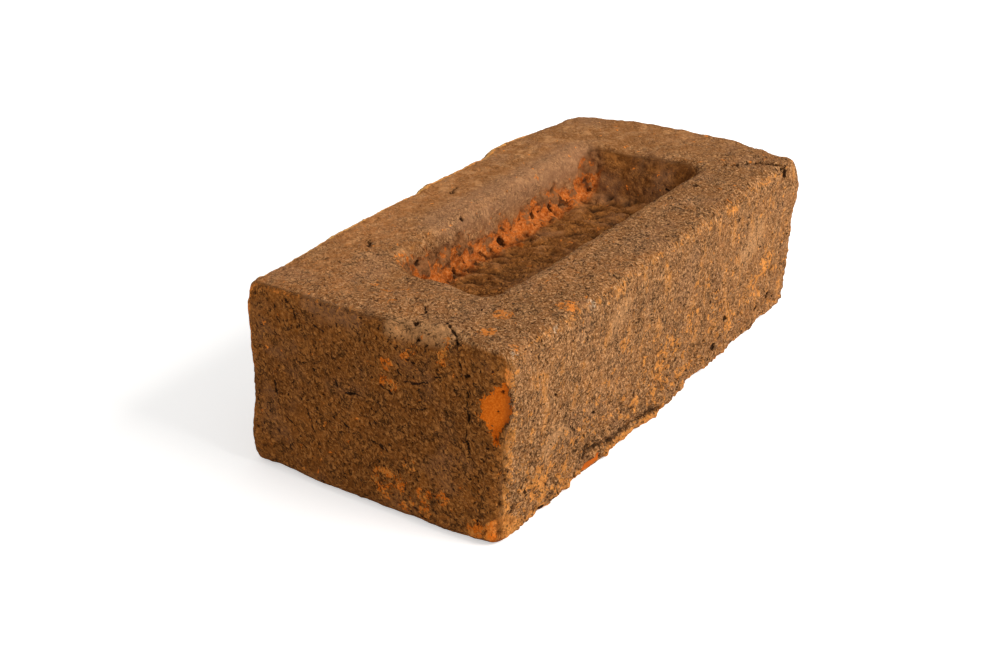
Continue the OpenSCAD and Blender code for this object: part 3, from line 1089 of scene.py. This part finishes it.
def torn_colour(w, at):
    """The torn clay of the frog's left wall: orange below, greyer above, with painted shade in its
    pockets.
    """
    torn_cloud = w.cloud(w.wander(at.place, 4.0, 1.2), TORN_PATCH_SIZE, 3.0, 0.6)
    torn_cloud = w.plus(torn_cloud, w.ramp(at.z, 48.0, 59.0, -0.09, 0.07))
    clay = w.colour(w.ramp(torn_cloud, 0.45, 0.53), TORN_ORANGE, TORN_GREY)
    tan = w.times(w.ramp(torn_cloud, 0.52, 0.42), w.ramp(at.mottle, 0.44, 0.6), 0.8)
    clay = w.colour(tan, clay, TORN_TAN)
    # Painted shade in pockets of the torn clay, most near its foot
    pocket_shade = w.ramp(w.cloud(w.wander(at.place, 3.0, 1.0), POCKET_SIZE, 2.0), 0.43, 0.35)
    return w.colour(w.times(pocket_shade, w.ramp(at.z, 56.0, 50.0, 0.3, 0.8)), clay, CLAY_GAP)


def darkened(w, at, skin):
    """The skin with painted shade in its gaps, its low grain and its deeper hollows, more of it on the
    frog's shaded walls; the dark of the gaps is partly dirt as well.
    """
    # Painted shade in the deeper hollows, with more of it on the frog's shaded walls
    relief = w.less(kept(w, "relief"), w.times(at.shaded_frog, 0.5))
    painted_hollow_shade = w.ramp(relief, -1.9, -0.4, 0.75, 0.0)
    # Painted shade in the gaps and the low grain; in the gaps it is partly dirt
    darkness = w.most(at.gap, w.ramp(at.mottle, 0.43, 0.33, 0.0, 0.75))
    darkness = w.times(darkness, w.without(w.times(at.bare, 0.45)), w.least(at.keen, 1.0), 0.9)
    return w.colour(w.times(w.most(darkness, painted_hollow_shade), at.sound), skin, CLAY_GAP)


def fired_clay():
    """Rough fired clay: a brown sanded skin over an orange body, with painted shade in its gaps, hollows,
    cracks and holes.
    """
    material, w = new_material("fired_clay")
    at = parts_of_the_brick(w)
    broken = broken_clay(w, at)
    at.sound = w.without(w.times(broken, 0.9))
    at.keen = keenness(w, at)
    add_grain(w, at)
    at.middling = w.cloud(at.place, MIDDLING_SIZE, 2.0, 0.6)

    skin = body_through_skin(w, at, skin_colour(w, at))
    # Painted shade in crevices low on the long face, where its rough clay shades itself
    painted_crevice_shade = w.cloud(w.wander(at.place, 3.0, 1.4), CREVICE_SIZE, 3.0, 0.6)
    painted_crevice_shade = w.times(w.ramp(painted_crevice_shade, 0.42, 0.33), at.side, w.ramp(at.z, 50.0, 14.0, 0.15, 0.8))
    skin = w.colour(w.times(painted_crevice_shade, w.ramp(at.x, 95.0, 20.0, 0.5, 1.0)), skin, CLAY_GAP)
    skin = w.colour(at.torn, skin, torn_colour(w, at))
    skin = darkened(w, at, skin)
    sanded = w.times(w.ramp(kept(w, "sanded"), 0.0, 0.5), w.ramp(at.mottle, 0.50, 0.55))
    skin = w.colour(w.times(sanded, 0.55), skin, SAND)
    chip = w.colour(w.ramp(w.cloud(at.place, 0.55, 2.0, 0.6), 0.42, 0.62), FLAKE_ORANGE, FLAKE_TAN)
    chip = w.colour(w.times(at.side, 0.8), chip, FACET_ORANGE)
    skin = w.colour(broken, skin, chip)
    # Painted shade in the cracks, the strokes of the end and the holes
    openings = shade_in_openings(w, at)
    skin = w.colour(w.times(openings, 0.92), skin, CLAY_GAP)

    bump = w.add("ShaderNodeBump")
    bump.inputs["Strength"].default_value = 1.0
    bump.inputs["Distance"].default_value = MM
    w.feed(bump.inputs["Height"], w.less(at.height, w.times(openings, 0.7)))
    clay = w.add("ShaderNodeBsdfPrincipled")
    clay.inputs["Specular IOR Level"].default_value = 0.08
    w.feed(clay.inputs["Roughness"], w.ramp(at.height, -0.3, 0.4, 0.98, 0.82))
    w.feed(clay.inputs["Base Color"], skin)
    w.feed(clay.inputs["Normal"], bump.outputs[0])
    w.joined("ShaderNodeOutputMaterial", (clay.outputs[0],))
    return material


def merged_copy(node, name):
    """A copy of a CAD node's mesh with its loose triangles joined along their edges."""
    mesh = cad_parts[node].data.copy()
    mesh.name = name
    copy = bpy.data.objects.new(name, mesh)
    bpy.context.scene.collection.objects.link(copy)
    weld = copy.modifiers.new("weld", "WELD")
    weld.merge_threshold = 0.001 * MM
    return copy


def worked_brick(clay):
    """The brick as one piece of worked clay."""
    sizes = dict(RELIEF, Clay=clay)
    brick = merged_copy("brick", "clay_brick")
    skin = brick.modifiers.new("skin", "REMESH")
    skin.mode = "VOXEL"
    skin.voxel_size = SKIN_SQUARE * MM
    skin.use_smooth_shade = True
    worked = brick.modifiers.new("worked", "NODES")
    worked.node_group = hand_moulded_skin(sizes)
    set_sizes(worked, sizes)
    thinned = brick.modifiers.new("thinned", "DECIMATE")
    thinned.ratio = SKIN_SHARE
    thinned.use_collapse_triangulate = True

    bpy.context.view_layer.update()
    depsgraph = bpy.context.evaluated_depsgraph_get()
    evaluated = brick.evaluated_get(depsgraph)
    mesh = bpy.data.meshes.new_from_object(evaluated, preserve_all_data_layers=True, depsgraph=depsgraph)
    brick.modifiers.clear()
    brick.data = mesh
    mesh.name = "clay_brick"
    mesh.materials.clear()
    mesh.materials.append(clay)
    mesh.polygons.foreach_set("use_smooth", [True] * len(mesh.polygons))
    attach(brick, "root")
    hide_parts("brick")


def seen_directly(w):
    """1 for what the camera sees, itself or by a reflection or through glass."""
    seen = w.add("ShaderNodeLightPath").outputs
    return w.most(seen["Is Camera Ray"], seen["Is Glossy Ray"], seen["Is Transmission Ray"])


def white_floor():
    """A plain white floor that keeps the brick's shadow."""
    material, w = new_material("white_floor")
    mesh = bpy.data.meshes.new("floor")
    corners = [(-1, -1), (1, -1), (1, 1), (-1, 1)]
    places = [(x * FLOOR_HALF, y * FLOOR_HALF, -FLOOR_DROP * MM) for x, y in corners]
    mesh.from_pydata(places, [], [(0, 1, 2, 3)])
    floor = bpy.data.objects.new("floor", mesh)
    bpy.context.scene.collection.objects.link(floor)
    card = w.add("ShaderNodeBsdfDiffuse")
    card.inputs["Color"].default_value = (FLOOR_GREY, FLOOR_GREY, FLOOR_GREY, 1.0)
    glow = w.add("ShaderNodeEmission")
    glow.inputs["Color"].default_value = (1.0, 1.0, 1.0, 1.0)
    w.feed(glow.inputs["Strength"], w.times(seen_directly(w), FLOOR_GLOW))
    both = w.joined("ShaderNodeAddShader", (card.outputs[0], glow.outputs[0]))
    w.joined("ShaderNodeOutputMaterial", (both.outputs[0],))
    mesh.materials.append(material)


def white_room(fill):
    """An even white room: white where it is seen, and dimmer as a light."""
    world = bpy.data.worlds.new("white_room")
    world.use_nodes = True
    world.node_tree.nodes.clear()
    w = Wiring(world.node_tree)
    soft = w.add("ShaderNodeBackground")
    soft.inputs["Color"].default_value = (1.0, 0.985, 0.96, 1.0)
    soft.inputs["Strength"].default_value = fill
    seen = w.add("ShaderNodeBackground")
    seen.inputs["Color"].default_value = (1.0, 1.0, 1.0, 1.0)
    seen.inputs["Strength"].default_value = 1.0
    mix = w.joined("ShaderNodeMixShader", (seen_directly(w), soft.outputs[0], seen.outputs[0]))
    w.joined("ShaderNodeOutputWorld", (mix.outputs[0],))
    bpy.context.scene.world = world


def direction(azimuth, elevation):
    """The way from the brick towards a light or a camera; azimuth 0 is -Y and -90 is -X."""
    a, e = math.radians(azimuth), math.radians(elevation)
    return Vector((math.sin(a) * math.cos(e), -math.cos(a) * math.cos(e), math.sin(e)))


def place_facing(thing, middle, towards, distance):
    """Puts a light or a camera at a distance from a place, and turns it to face that place."""
    thing.location = middle + towards * distance
    thing.rotation_mode = "QUATERNION"
    thing.rotation_quaternion = (-towards).to_track_quat("-Z", "Y")
    bpy.context.scene.collection.objects.link(thing)


def soft_box(name, azimuth, elevation, distance, width, height, watts, tint):
    """A rectangular studio light that faces the brick; its sizes are in metres."""
    lamp = bpy.data.lights.new(name, "AREA")
    lamp.shape = "RECTANGLE"
    lamp.size = width
    lamp.size_y = height
    lamp.energy = watts
    lamp.color = tint
    box = bpy.data.objects.new(name, lamp)
    place_facing(box, Vector((0.0, 0.0, 0.03)), direction(azimuth, elevation), distance)


def photo_camera():
    """The camera, at the angle that the brick was photographed from."""
    camera = bpy.data.objects.new("camera", bpy.data.cameras.new("camera"))
    camera.data.sensor_width = CAMERA_SENSOR
    camera.data.lens = CAMERA_LENS
    camera.data.clip_start = 0.01
    camera.data.clip_end = 20.0
    place_facing(camera, Vector(CAMERA_TARGET) * MM, direction(*CAMERA_WAY), CAMERA_DISTANCE * MM)
    bpy.context.scene.camera = camera


worked_brick(fired_clay())
white_floor()
white_room(fill=0.47)
soft_box(
    "key", azimuth=14, elevation=39, distance=1.1,
    width=0.7, height=0.45, watts=11.5, tint=(1.0, 0.97, 0.93),
)
photo_camera()

bpy.context.scene.view_settings.view_transform = "Standard"
